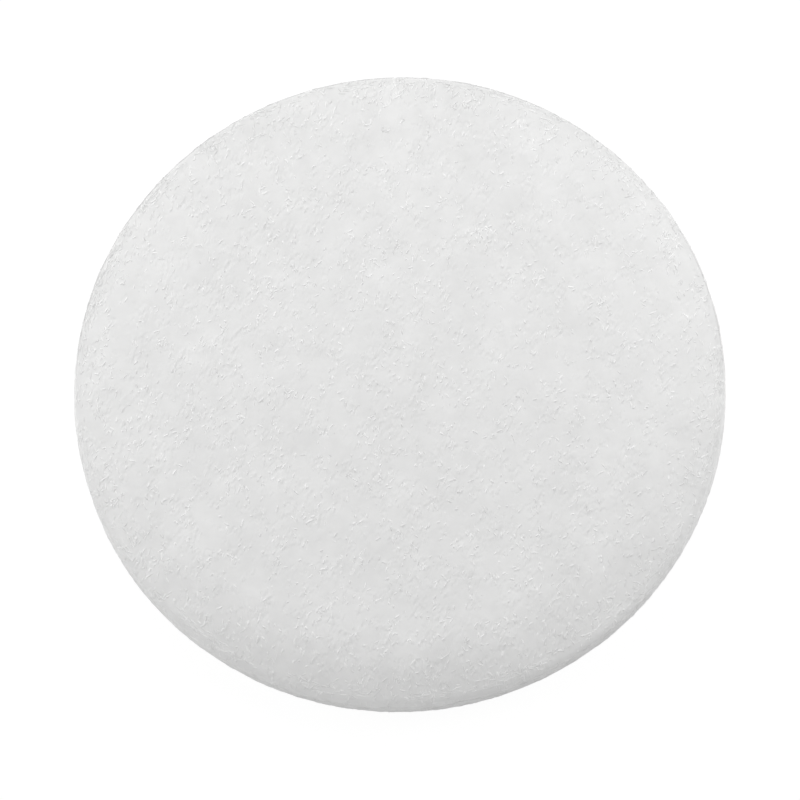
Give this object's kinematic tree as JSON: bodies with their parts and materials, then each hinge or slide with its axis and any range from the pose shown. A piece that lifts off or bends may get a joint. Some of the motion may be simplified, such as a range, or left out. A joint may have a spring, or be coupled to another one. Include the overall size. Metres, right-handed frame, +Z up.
{
  "type": "filter paper disc",
  "caption": "Thick round filter paper disc of pressed white cellulose fibre with a soft rolled punched edge, laid in a holder or funnel to strain liquids.",
  "frame": {"origin": "middle of the flat underside, on the disc's axis", "axes": "+Z up through the disc from the underside to the upper face; X and Y lie in the underside and are interchangeable"},
  "size_m": [0.06, 0.06, 0.0038],
  "materials": {
    "filter_paper": "matte, soft fibrous white"
  },
  "bodies": {
    "root": {"filter_disc": "filter_paper"}
  },
  "joints": []
}
